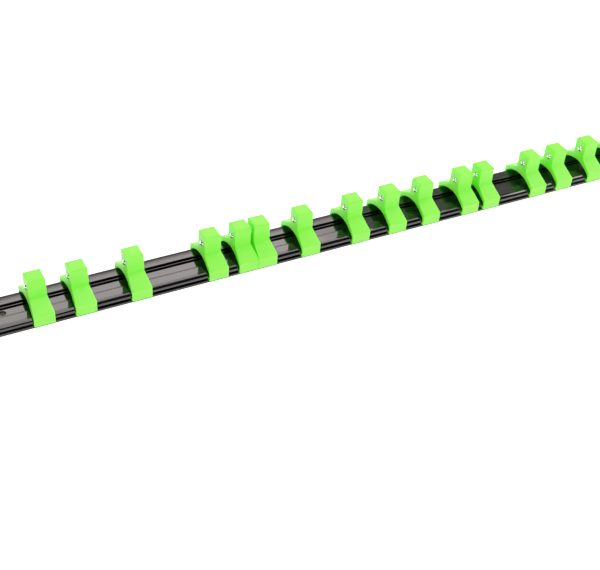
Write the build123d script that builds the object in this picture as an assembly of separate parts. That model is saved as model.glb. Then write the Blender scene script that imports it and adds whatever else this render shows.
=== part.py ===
from build123d import *
import os
from math import cos, pi, sin, sqrt

# A socket rail: moulded clips, each with a square drive post, slide on an extruded rail.
# Every length is in millimetres. X runs along the rail, Y across it and Z up from its underside.

# Rail, an aluminium extrusion with a sunken band between two flat strips
rail_length = 570.0
rail_width = 34.0
rail_height = 8.0
base_flange_thickness = 2.2
top_flange_thickness = 3.8
side_groove_depth = 5.2
band_width = 12.4
band_depth = 2.4
crown_width = 4.0
crown_drop = 2.2
band_foot_radius = 1.2
strip_edge_radius = 0.7
flange_edge_radius = 0.4
screw_hole_diameter = 5.2
screw_hole_from_end = 9.5

# Clip, one plastic moulding: post, arched base, two legs with hooked feet
post_side = 12.4
post_height = 14.2
base_overhang = 1.2
slope_rise = 6.8
shoulder_above_rail = 2.8
arch_above_rail = 5.6
arch_ends_below_rail_top = 0.6
leg_thickness = 1.4
crease_radius = 2.0
shoulder_radius = 1.0
post_top_chamfer = 0.6

# Clearances between a clip and the rail
leg_clearance = 0.25
foot_clearance = 0.15
foot_end_clearance = 0.3

# Detent in the post: a steel ball behind a thin lip, pressed outwards by a coil spring
ball_diameter = 4.8
ball_above_crease = 6.1
ball_protrusion = 1.3
ball_rings = 6
ball_facets = 8
bore_clearance = 0.1
bore_depth = 8.4
lip_depth = 0.4
seat_clearance = 0.03
spring_side_clearance = 0.3
spring_wire = 0.45
spring_turns = 2.5
sides_per_turn = 6
spring_end_clearance = 0.1

# Where the clips stand: each one's gap to the piece on its left, as a share of the rail's free length
gap_shares = [
    0.0786, 0.0450, 0.0780, 0.1324, 0.0273, 0.0015, 0.0630, 0.0843,
    0.0537, 0.0471, 0.0660, 0.0159, 0.0939, 0.0345, 0.0522, 0.0525,
]

# Sizes that follow from those above
rail_edge = rail_width / 2
web_edge = rail_edge - side_groove_depth
groove_top = rail_height - top_flange_thickness
groove_height = groove_top - base_flange_thickness
band_floor = rail_height - band_depth
screw_hole_place = rail_length / 2 - screw_hole_from_end

post_edge = post_side / 2
clip_width = post_side + 2 * base_overhang
shoulder_height = rail_height + shoulder_above_rail
crease_height = shoulder_height + slope_rise
post_top_height = crease_height + post_height
arch_top_height = rail_height + arch_above_rail
arch_end_height = rail_height - arch_ends_below_rail_top
leg_inside = rail_edge + leg_clearance
clip_edge = leg_inside + leg_thickness
foot_bottom = base_flange_thickness + foot_clearance
foot_top = groove_top - foot_clearance
foot_end = web_edge + foot_end_clearance

ball_height = crease_height + ball_above_crease
ball_radius = ball_diameter / 2
ball_centre_depth = ball_radius - ball_protrusion
mouth_radius = sqrt(ball_radius**2 - ball_centre_depth**2) + seat_clearance
bore_radius = ball_radius + bore_clearance
coil_radius = bore_radius - spring_side_clearance - spring_wire / 2
ball_back_depth = ball_centre_depth + sqrt(ball_radius**2 - (coil_radius - spring_wire / 2) ** 2)
spring_start_depth = ball_back_depth + spring_end_clearance + spring_wire / 2
spring_end_depth = bore_depth - spring_end_clearance - spring_wire / 2


def clip_places():
    """Middle of each clip along X, from left to right."""
    free_length = rail_length - clip_width * len(gap_shares)
    places = []
    left_edge = -rail_length / 2
    for share in gap_shares:
        left_edge += share * free_length
        places.append(left_edge + clip_width / 2)
        left_edge += clip_width
    return places


def corners_at(shape, across, up):
    """The profile's corners at one height, on both sides of its middle."""
    near = flange_edge_radius / 4
    return [v for v in shape.vertices() if abs(abs(v.X) - across) < near and abs(v.Y - up) < near]


def crown_waste():
    """What a strip's outer corner loses to its crown, a quarter of an ellipse that falls away to the side face."""
    start = Pos(rail_edge - crown_width, rail_height - crown_drop)
    corner = start * Rectangle(crown_width, crown_drop, align=(Align.MIN, Align.MIN))
    return corner - start * Ellipse(crown_width, crown_drop)


def rail_profile():
    """The extrusion's section: two flanges with a groove between them on each side, and the sunken band."""
    section = Rectangle(rail_width, rail_height, align=(Align.CENTER, Align.MIN))
    groove = Rectangle(side_groove_depth, groove_height, align=(Align.MAX, Align.MIN))
    section -= Pos(rail_edge, base_flange_thickness) * groove
    section -= Pos(-web_edge, base_flange_thickness) * groove
    section -= Pos(0, band_floor) * Rectangle(band_width, rail_height, align=(Align.CENTER, Align.MIN))
    waste = crown_waste()
    section -= waste
    section -= mirror(waste, about=Plane.YZ)
    section = fillet(corners_at(section, band_width / 2, band_floor), band_foot_radius)
    section = fillet(corners_at(section, band_width / 2, rail_height), strip_edge_radius)
    for height in (groove_top, base_flange_thickness, 0):
        section = fillet(corners_at(section, rail_edge, height), flange_edge_radius)
    return section


def make_rail():
    """The rail, cut square at its ends, with a screw hole through the band near each end."""
    rail = extrude(Plane.YZ * rail_profile(), amount=rail_length / 2, both=True)
    for place in (-screw_hole_place, screw_hole_place):
        rail -= Pos(place, 0, rail_height / 2) * Cylinder(screw_hole_diameter / 2, rail_height * 2)
    return rail


def clip_side_profile():
    """The clip seen along the rail: post, sloping shoulders, walls, hooked feet and the arch inside."""
    with BuildSketch() as side:
        with BuildLine():
            Polyline(
                (0, post_top_height),
                (post_edge, post_top_height),
                (post_edge, crease_height),
                (clip_edge, shoulder_height),
                (clip_edge, foot_bottom),
                (foot_end, foot_bottom),
                (foot_end, foot_top),
                (leg_inside, foot_top),
                (leg_inside, arch_end_height),
            )
            ThreePointArc(
                (leg_inside, arch_end_height),
                (0, arch_top_height),
                (-leg_inside, arch_end_height),
            )
            Polyline(
                (-leg_inside, arch_end_height),
                (-leg_inside, foot_top),
                (-foot_end, foot_top),
                (-foot_end, foot_bottom),
                (-clip_edge, foot_bottom),
                (-clip_edge, shoulder_height),
                (-post_edge, crease_height),
                (-post_edge, post_top_height),
                (0, post_top_height),
            )
        make_face()
    profile = chamfer(corners_at(side.sketch, post_edge, post_top_height), post_top_chamfer)
    profile = fillet(corners_at(profile, post_edge, crease_height), crease_radius)
    return fillet(corners_at(profile, clip_edge, shoulder_height), shoulder_radius)


def clip_front_profile():
    """The clip seen across the rail: as wide as the post above the crease, flaring to the shoulders."""
    half = clip_width / 2
    outline = Polyline(
        (-half, 0),
        (-half, shoulder_height),
        (-post_edge, crease_height),
        (-post_edge, post_top_height),
        (post_edge, post_top_height),
        (post_edge, crease_height),
        (half, shoulder_height),
        (half, 0),
        close=True,
    )
    profile = make_face(outline)
    return chamfer(corners_at(profile, post_edge, post_top_height), post_top_chamfer)


def make_clip():
    """One moulded clip, standing at the middle of the rail, with the detent's bore in its left face."""
    clip = extrude(Plane.YZ * clip_side_profile(), amount=clip_width, both=True)
    clip &= extrude(Plane.XZ * clip_front_profile(), amount=2 * clip_edge, both=True)
    return clip - detent_bore()


def detent_axis():
    """Frame on the post's left face at the ball, with its own Z into the post."""
    return Location(Plane((-post_edge, 0, ball_height), x_dir=(0, 1, 0), z_dir=(1, 0, 0)))


def detent_bore():
    """The blind bore that holds ball and spring, narrowed by a conical lip at its mouth."""
    from_mouth = (Align.CENTER, Align.CENTER, Align.MIN)
    lip = Cone(mouth_radius, bore_radius, lip_depth, align=from_mouth)
    bore = Pos(0, 0, lip_depth) * Cylinder(bore_radius, bore_depth - lip_depth, align=from_mouth)
    return detent_axis() * (lip + bore)


def ball_point(ring, facet):
    """A corner of the faceted ball, on its ring and at its place round the ring."""
    down = pi * ring / ball_rings
    around = 2 * pi * facet / ball_facets
    return (
        ball_radius * sin(down) * cos(around),
        ball_radius * sin(down) * sin(around),
        ball_radius * cos(down),
    )


def ball_facet(ring, facet):
    """One flat facet of the ball, with four corners, or three where it meets a pole."""
    corners = [ball_point(ring, facet), ball_point(ring + 1, facet)]
    if ring < ball_rings - 1:
        corners.append(ball_point(ring + 1, facet + 1))
    if ring > 0:
        corners.append(ball_point(ring, facet + 1))
    return Face(Wire.make_polygon(corners))


def make_ball():
    """The steel ball, as rings of flat facets so that one in every clip stays light."""
    facets = [ball_facet(ring, facet) for ring in range(ball_rings) for facet in range(ball_facets)]
    return detent_axis() * Pos(0, 0, ball_centre_depth) * Solid(Shell(facets))


def make_spring():
    """The coil spring behind the ball: square wire on a helix of straight sides."""
    sides = int(spring_turns * sides_per_turn)
    rise = (spring_end_depth - spring_start_depth) / sides
    points = []
    for i in range(sides + 1):
        turn = 2 * pi * i / sides_per_turn
        points.append((coil_radius * cos(turn), coil_radius * sin(turn), spring_start_depth + rise * i))
    path = Polyline(*points)
    wire = Plane(path @ 0, z_dir=path % 0) * Rectangle(spring_wire, spring_wire)
    return detent_axis() * sweep(wire, path, transition=Transition.RIGHT)


def write_node(name, shape):
    """One STEP file for one piece."""
    shape.label = name
    export_step(shape, f"parts/{name}.step")


os.makedirs("parts", exist_ok=True)
write_node("rail", make_rail())
clip = make_clip()
ball = make_ball()
spring = make_spring()
for number, place in enumerate(clip_places(), start=1):
    write_node(f"clip_{number:02d}", Pos(place, 0, 0) * clip)
    write_node(f"detent_ball_{number:02d}", Pos(place, 0, 0) * ball)
    write_node(f"detent_spring_{number:02d}", Pos(place, 0, 0) * spring)
    print(f"clip {number:02d} at {place:.2f}")
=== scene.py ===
from math import cos, pi, radians

import bmesh
import bpy
from mathutils import Matrix, Quaternion, Vector


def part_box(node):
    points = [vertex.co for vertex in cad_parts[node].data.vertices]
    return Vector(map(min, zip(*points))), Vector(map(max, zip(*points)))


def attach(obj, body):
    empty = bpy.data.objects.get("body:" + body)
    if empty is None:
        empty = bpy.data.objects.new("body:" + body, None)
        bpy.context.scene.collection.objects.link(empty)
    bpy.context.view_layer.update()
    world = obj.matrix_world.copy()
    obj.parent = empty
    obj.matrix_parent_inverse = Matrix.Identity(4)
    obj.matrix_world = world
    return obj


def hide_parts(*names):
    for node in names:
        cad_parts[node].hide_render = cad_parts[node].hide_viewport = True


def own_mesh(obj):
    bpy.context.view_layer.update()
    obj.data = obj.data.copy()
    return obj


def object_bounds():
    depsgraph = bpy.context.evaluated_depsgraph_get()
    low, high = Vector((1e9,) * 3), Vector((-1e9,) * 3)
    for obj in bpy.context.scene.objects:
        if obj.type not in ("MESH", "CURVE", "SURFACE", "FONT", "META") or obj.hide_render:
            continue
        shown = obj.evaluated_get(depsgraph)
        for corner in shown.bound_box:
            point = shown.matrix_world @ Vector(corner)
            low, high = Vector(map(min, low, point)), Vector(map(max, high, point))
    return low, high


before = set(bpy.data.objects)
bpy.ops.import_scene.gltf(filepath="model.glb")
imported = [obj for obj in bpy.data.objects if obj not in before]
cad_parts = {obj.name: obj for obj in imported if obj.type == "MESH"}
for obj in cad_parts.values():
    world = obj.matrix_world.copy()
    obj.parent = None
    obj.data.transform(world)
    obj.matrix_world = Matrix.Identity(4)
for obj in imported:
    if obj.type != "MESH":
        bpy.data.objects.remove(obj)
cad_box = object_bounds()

# Camera
# It stands in front of the rail's left end and looks down along it at about forty degrees. Its place, aim,
# roll and lens come from fitting the clips' corners in the photograph.

mm = 0.001
camera_place = Vector((-396.2, -614.7, 537.1)) * mm
camera_aim = Vector((-69.8, -45.7, 0.8)) * mm
camera_roll = radians(-4.67)
camera_lens = 69.87
sensor_width = 36.0

camera_data = bpy.data.cameras.new("camera")
camera_data.lens = camera_lens
camera_data.sensor_fit = "HORIZONTAL"
camera_data.sensor_width = sensor_width
camera = bpy.data.objects.new("camera", camera_data)
sight = camera_aim - camera_place
turn = Quaternion(sight, camera_roll) @ sight.to_track_quat("-Z", "Y")
camera.matrix_world = Matrix.Translation(camera_place) @ turn.to_matrix().to_4x4()
bpy.context.scene.collection.objects.link(camera)
bpy.context.scene.camera = camera


# Studio
# The object lies on a light table, a sheet of opal acrylic lit from below, which leaves no shadow. The rail's
# strips mirror the main softbox and its dim end on the left and the back wall on the right, where the right
# softbox draws a bright line along the crown. The other softboxes light the clips and the balls.

room_white = "#FFFFFF"
room_light = 0.02
room_seen = 1.5
softbox_white = "#FFF9F5"

# Sizes and places in metres, turns and tips in degrees
softboxes = {
    "main_softbox": {"radiance": 4.1, "size": (1.24, 1.745), "centre": (0.37, 0.9225, 1.50)},
    "dim_softbox": {"radiance": 2.9, "size": (0.11, 1.745), "centre": (1.045, 0.9225, 1.50)},
    "right_softbox": {"radiance": 8.5, "size": (1.17, 0.60), "centre": (1.715, 0.20, 1.50)},
    "front_softbox": {"radiance": 4.5, "size": (1.30, 0.90), "centre": (-0.55, -0.45, 1.50)},
    "low_softbox": {"radiance": 10.0, "size": (1.60, 0.60), "centre": (2.20, -1.30, 0.30),
                    "turn": 59, "tip": 90},
    "side_softbox": {"radiance": 2.2, "size": (2.40, 2.00), "centre": (2.60, -0.30, 1.00),
                     "turn": 90, "tip": 90},
    "left_softbox": {"radiance": 1.5, "size": (1.60, 1.00), "centre": (-1.70, 1.50, 0.75),
                     "turn": 229, "tip": 90},
    "back_wall": {"radiance": 0.48, "size": (5.50, 3.40), "centre": (1.75, 3.20, 1.70),
                  "turn": 180, "tip": 90},
}

# Bright tones, each with the tone that it is shown as
highlight_tones = ((0.70, 0.70), (0.95, 0.885), (1.0, 0.90))
all_channels = 3

acrylic_white = "#F6F6F5"
acrylic_cool = "#F0F1F1"
acrylic_roughness = 0.45
acrylic_glow = 1.07
lamp_spacing = 150 * mm
lamp_detail = 1
table_span = 12000 * mm
table_gap = 0.05 * mm


def linear(colour):
    """sRGB hex to the linear colour that shaders take."""
    parts = [int(colour[i:i + 2], 16) / 255 for i in (1, 3, 5)]
    return [c / 12.92 if c <= 0.04045 else ((c + 0.055) / 1.055) ** 2.4 for c in parts] + [1.0]


def add(tree, kind, links=(), **settings):
    """Adds a node, sets its sockets (a space in a socket's name is written _), and links its inputs."""
    node = tree.nodes.new(kind)
    for socket, value in settings.items():
        node.inputs[socket.replace("_", " ")].default_value = value
    for socket, source in dict(links).items():
        tree.links.new(source, node.inputs[socket])
    return node


def new_material(name):
    """An empty node material."""
    made = bpy.data.materials.new(name)
    made.use_nodes = True
    made.node_tree.nodes.clear()
    return made


def put(name, work, material):
    """Turns a bmesh into a smooth object at the origin with one material."""
    mesh = bpy.data.meshes.new(name)
    work.to_mesh(mesh)
    work.free()
    mesh.materials.append(material)
    mesh.shade_smooth()
    made = bpy.data.objects.new(name, mesh)
    bpy.context.scene.collection.objects.link(made)
    return made


def soft_light(name, radiance, size, centre, turn=0, tip=0):
    """A rectangular light that the camera doesn't see. It shines down, or towards +Y when it is tipped by 90
    degrees, and is then turned about Z. Its power is what gives its face the radiance."""
    data = bpy.data.lights.new(name, "AREA")
    data.shape = "RECTANGLE"
    data.size, data.size_y = size
    data.energy = radiance * pi * size[0] * size[1]
    data.color = linear(softbox_white)[:3]
    made = bpy.data.objects.new(name, data)
    made.location = centre
    made.rotation_euler = (radians(tip), 0, radians(turn))
    made.visible_camera = False
    bpy.context.scene.collection.objects.link(made)


for name, softbox in softboxes.items():
    soft_light(name, **softbox)

# Room: white where the camera looks past the table, and dim as a light
world = bpy.data.worlds.new("room")
world.use_nodes = True
tree = world.node_tree
tree.nodes.clear()
ray = add(tree, "ShaderNodeLightPath")
level = add(tree, "ShaderNodeMapRange", {"Value": ray.outputs["Is Camera Ray"]},
            To_Min=room_light, To_Max=room_seen)
room = add(tree, "ShaderNodeBackground", {"Strength": level.outputs["Result"]}, Color=linear(room_white))
add(tree, "ShaderNodeOutputWorld", {"Surface": room.outputs["Background"]})
bpy.context.scene.world = world

# Highlights roll off below white, as a camera's do
view = bpy.context.scene.view_settings
view.view_transform = "Standard"
view.use_curve_mapping = True
tones = view.curve_mapping.curves[all_channels]
tones.points[-1].location = highlight_tones[-1]
for tone in highlight_tones[:-1]:
    tones.points.new(*tone)
view.curve_mapping.update()

# Opal acrylic: even and milky, barely uneven over the lamps below it
acrylic = new_material("opal_acrylic")
tree = acrylic.node_tree
place = add(tree, "ShaderNodeTexCoord")
lamps = add(tree, "ShaderNodeTexNoise", {"Vector": place.outputs["Object"]},
            Scale=1 / lamp_spacing, Detail=lamp_detail)
milk = add(tree, "ShaderNodeMixRGB", {"Fac": lamps.outputs["Fac"]},
           Color1=linear(acrylic_white), Color2=linear(acrylic_cool))
surface = add(tree, "ShaderNodeBsdfPrincipled",
              {"Base Color": milk.outputs["Color"], "Emission Color": milk.outputs["Color"]},
              Roughness=acrylic_roughness, Emission_Strength=acrylic_glow)
add(tree, "ShaderNodeOutputMaterial", {"Surface": surface.outputs["BSDF"]})

work = bmesh.new()
bmesh.ops.create_grid(work, x_segments=1, y_segments=1, size=table_span / 2,
                      matrix=Matrix.Translation((0, 0, cad_box[0].z - table_gap)))
table = put("light_table", work, acrylic)


# Rail
# One aluminium extrusion with a fine rib along each side of its sunken band. It is sawn to length, drilled,
# black anodised and sealed to a gloss. The die leaves faint lines along it, and the edges that the saw and
# the drill leave are broken by hand.

band_floor = 5.6 * mm
rib_place = 4.8 * mm
rib_width = 1.0 * mm
rib_height = 1.2 * mm
rib_sunk = 0.5 * mm
rib_end_gap = 0.1 * mm
rib_radius = 0.3 * mm
rib_steps = 3
saw_edge = 0.15 * mm
saw_edge_steps = 2
edge_angle = radians(25)
join_distance = 0.001 * mm
flat_angle = radians(0.2)
dye_black = "#0F0F11"
dye_charcoal = "#161618"
seal_ior = 1.5
seal_roughness = 0.05
metal_smoothest = 0.30
metal_roughest = 0.42
die_line_spacing = 0.5 * mm
die_line_length = 120 * mm
die_line_depth = 0.002 * mm
die_line_detail = 3


def merged_copy(node):
    """A node's mesh with its loose triangles joined, so that its edges can be finished."""
    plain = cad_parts[node].data.copy()
    if "custom_normal" in plain.attributes:
        plain.attributes.remove(plain.attributes["custom_normal"])
    work = bmesh.new()
    work.from_mesh(plain)
    bpy.data.meshes.remove(plain)
    bmesh.ops.remove_doubles(work, verts=work.verts, dist=join_distance)
    bmesh.ops.dissolve_limit(work, angle_limit=flat_angle, verts=work.verts, edges=work.edges)
    return work


def soften(work, edges, radius, steps):
    """Rounds the given edges, and joins the corners that meet where two roundings run together."""
    bmesh.ops.bevel(work, geom=list(edges), offset=radius, offset_type="OFFSET", segments=steps, profile=0.5,
                    affect="EDGES", clamp_overlap=True, material=-1)
    bmesh.ops.remove_doubles(work, verts=work.verts, dist=join_distance)


def smooth_by_area(piece):
    """Large faces keep their own normal, and the rounded edges take up the turn."""
    finish = piece.modifiers.new("normals", "WEIGHTED_NORMAL")
    finish.keep_sharp = True


def dress(piece, body, node):
    """Says which body the piece rides on, and hides the node that it stands for."""
    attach(piece, body)
    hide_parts(node)


# Black anodised aluminium: a dark dyed metal under a clear sealed layer that mirrors the softboxes. The die's
# lines along X are drawn wider apart than the real ones so that they show.
anodised = new_material("black_anodised_aluminium")
tree = anodised.node_tree
place = add(tree, "ShaderNodeTexCoord")
drawn = add(tree, "ShaderNodeMapping", {"Vector": place.outputs["Object"]},
            Scale=(1 / die_line_length, 1 / die_line_spacing, 1 / die_line_spacing))
lines = add(tree, "ShaderNodeTexNoise", {"Vector": drawn.outputs["Vector"]},
            Scale=1.0, Detail=die_line_detail)
dye = add(tree, "ShaderNodeMixRGB", {"Fac": lines.outputs["Fac"]},
          Color1=linear(dye_black), Color2=linear(dye_charcoal))
rough = add(tree, "ShaderNodeMapRange", {"Value": lines.outputs["Fac"]},
            To_Min=metal_smoothest, To_Max=metal_roughest)
bump = add(tree, "ShaderNodeBump", {"Height": lines.outputs["Fac"]}, Strength=1.0, Distance=die_line_depth)
surface = add(tree, "ShaderNodeBsdfPrincipled",
              {"Base Color": dye.outputs["Color"], "Roughness": rough.outputs["Result"],
               "Normal": bump.outputs["Normal"], "Coat Normal": bump.outputs["Normal"]},
              Metallic=1.0, Coat_Weight=1.0, Coat_Roughness=seal_roughness, Coat_IOR=seal_ior)
add(tree, "ShaderNodeOutputMaterial", {"Surface": surface.outputs["BSDF"]})

work = merged_copy("rail")
sharp = {edge for edge in work.edges if edge.calc_face_angle(0) > edge_angle}
soften(work, sharp, saw_edge, saw_edge_steps)
low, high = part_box("rail")
rib_length = high.x - low.x - 2 * rib_end_gap
for side in (-1, 1):
    middle = Matrix.Translation((0, side * rib_place, band_floor + (rib_height - rib_sunk) / 2))
    size = Matrix.Diagonal((rib_length, rib_width, rib_height + rib_sunk, 1))
    rib = bmesh.ops.create_cube(work, size=1, matrix=middle @ size)
    around = {edge for corner in rib["verts"] for edge in corner.link_edges}
    soften(work, around, rib_radius, rib_steps)
rail = put("rail_extrusion", work, anodised)
smooth_by_area(rail)
dress(rail, "rail", "rail")


# Clips
# Sixteen of one moulding in lime green ABS, slightly see-through, and satin from a spark-eroded mould. Each
# slides on the rail by its hooked feet. Every outer edge and the mouth of the ball's bore have the mould's
# small radius.

mould_radius = 0.38 * mm
mould_steps = 3
mouth_reach = 0.4 * mm
kink_angle = radians(4)
lime_deep = "#75F12C"
lime_light = "#7CF531"
flow_mark_size = 9 * mm
flow_mark_detail = 2
grain_size = 0.3 * mm
grain_depth = 0.006 * mm
grain_detail = 2
satin_smoothest = 0.44
satin_roughest = 0.54
plastic_ior = 1.57
glow_depth = 4 * mm
glow_shares = (0.15, 1.0, 0.08)

# Lime green ABS: light that enters it comes back greener from the shaded sides, and its colour drifts a
# little where it flowed in the mould. The fine grain that the mould gives it breaks up highlights, and is
# drawn a few times coarser than the real one so that it shows.
lime = new_material("lime_green_abs")
tree = lime.node_tree
place = add(tree, "ShaderNodeTexCoord")
flow = add(tree, "ShaderNodeTexNoise", {"Vector": place.outputs["Object"]},
           Scale=1 / flow_mark_size, Detail=flow_mark_detail)
grain = add(tree, "ShaderNodeTexNoise", {"Vector": place.outputs["Object"]},
            Scale=1 / grain_size, Detail=grain_detail)
green = add(tree, "ShaderNodeMixRGB", {"Fac": flow.outputs["Fac"]},
            Color1=linear(lime_deep), Color2=linear(lime_light))
satin = add(tree, "ShaderNodeMapRange", {"Value": grain.outputs["Fac"]},
            To_Min=satin_smoothest, To_Max=satin_roughest)
bump = add(tree, "ShaderNodeBump", {"Height": grain.outputs["Fac"]}, Strength=1.0, Distance=grain_depth)
surface = add(tree, "ShaderNodeBsdfPrincipled",
              {"Base Color": green.outputs["Color"], "Roughness": satin.outputs["Result"],
               "Normal": bump.outputs["Normal"]},
              IOR=plastic_ior, Subsurface_Weight=1.0, Subsurface_Scale=glow_depth,
              Subsurface_Radius=glow_shares)
add(tree, "ShaderNodeOutputMaterial", {"Surface": surface.outputs["BSDF"]})


def middle_of(edge):
    """The point halfway along an edge."""
    return (edge.verts[0].co + edge.verts[1].co) / 2


def runs_across(edge):
    """Whether an edge lies along Y."""
    along = (edge.verts[0].co - edge.verts[1].co).normalized()
    return abs(along.y) > cos(kink_angle)


clip_numbers = [name[-2:] for name in sorted(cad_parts) if name.startswith("clip_")]

# The left and right faces bend a little at the crease and at the shoulder, and these kinks are rounded too
for number in clip_numbers:
    work = merged_copy(f"clip_{number}")
    low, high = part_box(f"detent_ball_{number}")
    axis = (low + high) / 2
    bore_reach = (high.x - low.x) / 2 + mouth_reach
    bore = {edge for edge in work.edges if (middle_of(edge) - axis).yz.length < bore_reach}
    sharp = {edge for edge in work.edges if edge.calc_face_angle(0) > edge_angle}
    kinks = {edge for edge in work.edges if edge.calc_face_angle(0) > kink_angle and runs_across(edge)}
    mouth_place = min(middle_of(edge).x for edge in bore)
    mouth = {edge for edge in bore & sharp if middle_of(edge).x < mouth_place + join_distance}
    soften(work, ((sharp | kinks) - bore) | mouth, mould_radius, mould_steps)
    clip = put(f"clip_{number}_moulding", work, lime)
    smooth_by_area(clip)
    dress(clip, f"clip_{number}", f"clip_{number}")


# Balls
# A bearing ball in each post, hardened steel, ground and lapped until it mirrors the room. The lip at the
# bore's mouth holds it, and it stands a little proud of the post's face.

ball_roundness = 3
steel_grey = "#E4E3E1"
steel_bright = "#EDECEA"
lapping_size = 0.4 * mm
lapping_detail = 2
lapped_smoothest = 0.10
lapped_roughest = 0.16

# Lapped steel: bright, with a barely uneven polish. The lap's marks are drawn far coarser than the real ones
# so that they show.
steel = new_material("lapped_bearing_steel")
tree = steel.node_tree
place = add(tree, "ShaderNodeTexCoord")
lapping = add(tree, "ShaderNodeTexNoise", {"Vector": place.outputs["Object"]},
              Scale=1 / lapping_size, Detail=lapping_detail)
bright = add(tree, "ShaderNodeMixRGB", {"Fac": lapping.outputs["Fac"]},
             Color1=linear(steel_grey), Color2=linear(steel_bright))
polish = add(tree, "ShaderNodeMapRange", {"Value": lapping.outputs["Fac"]},
             To_Min=lapped_smoothest, To_Max=lapped_roughest)
surface = add(tree, "ShaderNodeBsdfPrincipled",
              {"Base Color": bright.outputs["Color"], "Roughness": polish.outputs["Result"]}, Metallic=1.0)
add(tree, "ShaderNodeOutputMaterial", {"Surface": surface.outputs["BSDF"]})

for number in clip_numbers:
    low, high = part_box(f"detent_ball_{number}")
    work = bmesh.new()
    bmesh.ops.create_icosphere(work, subdivisions=ball_roundness, radius=(high.x - low.x) / 2,
                               matrix=Matrix.Translation((low + high) / 2))
    ball = put(f"ball_{number}_lapped", work, steel)
    dress(ball, f"ball_{number}", f"detent_ball_{number}")


# Springs
# A compression spring behind each ball, cold coiled from hard-drawn round steel wire. It is squeezed between
# the ball and the bore's floor when a socket pushes the ball in.

wire_diameter = 0.45 * mm
wire_sides = 8
turns = 5
steps_per_turn = 20
wire_dark = "#8A8B8F"
wire_light = "#A3A4A8"
wire_smoothest = 0.25
wire_roughest = 0.40
draw_mark_size = 0.3 * mm
draw_mark_detail = 3

# Hard-drawn steel wire: grey, with duller marks from the drawing die, which are drawn coarser than the real
# ones so that they show
wire_steel = new_material("hard_drawn_spring_steel")
tree = wire_steel.node_tree
place = add(tree, "ShaderNodeTexCoord")
marks = add(tree, "ShaderNodeTexNoise", {"Vector": place.outputs["Object"]},
            Scale=1 / draw_mark_size, Detail=draw_mark_detail)
grey = add(tree, "ShaderNodeMixRGB", {"Fac": marks.outputs["Fac"]},
           Color1=linear(wire_dark), Color2=linear(wire_light))
dull = add(tree, "ShaderNodeMapRange", {"Value": marks.outputs["Fac"]},
           To_Min=wire_smoothest, To_Max=wire_roughest)
surface = add(tree, "ShaderNodeBsdfPrincipled",
              {"Base Color": grey.outputs["Color"], "Roughness": dull.outputs["Result"]}, Metallic=1.0)
add(tree, "ShaderNodeOutputMaterial", {"Surface": surface.outputs["BSDF"]})

for number in clip_numbers:
    low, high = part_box(f"detent_spring_{number}")
    middle = (low + high) / 2
    coil_radius = (high.y - low.y) / 2 - wire_diameter / 2
    length = high.x - low.x
    start = Vector((low.x + wire_diameter / 2, middle.y + coil_radius, middle.z))
    work = bmesh.new()
    bmesh.ops.create_circle(work, segments=wire_sides, radius=wire_diameter / 2, cap_ends=True,
                            matrix=Matrix.Translation(start))
    rise = (length - wire_diameter) / (turns * steps_per_turn)
    bmesh.ops.spin(work, geom=work.verts[:] + work.edges[:] + work.faces[:], cent=middle, axis=(1, 0, 0),
                   dvec=(rise, 0, 0), angle=2 * pi * turns, steps=turns * steps_per_turn, use_merge=False)
    bmesh.ops.recalc_face_normals(work, faces=work.faces)
    spring = put(f"spring_{number}_coil", work, wire_steel)
    dress(spring, f"clip_{number}", f"detent_spring_{number}")
    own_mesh(spring)
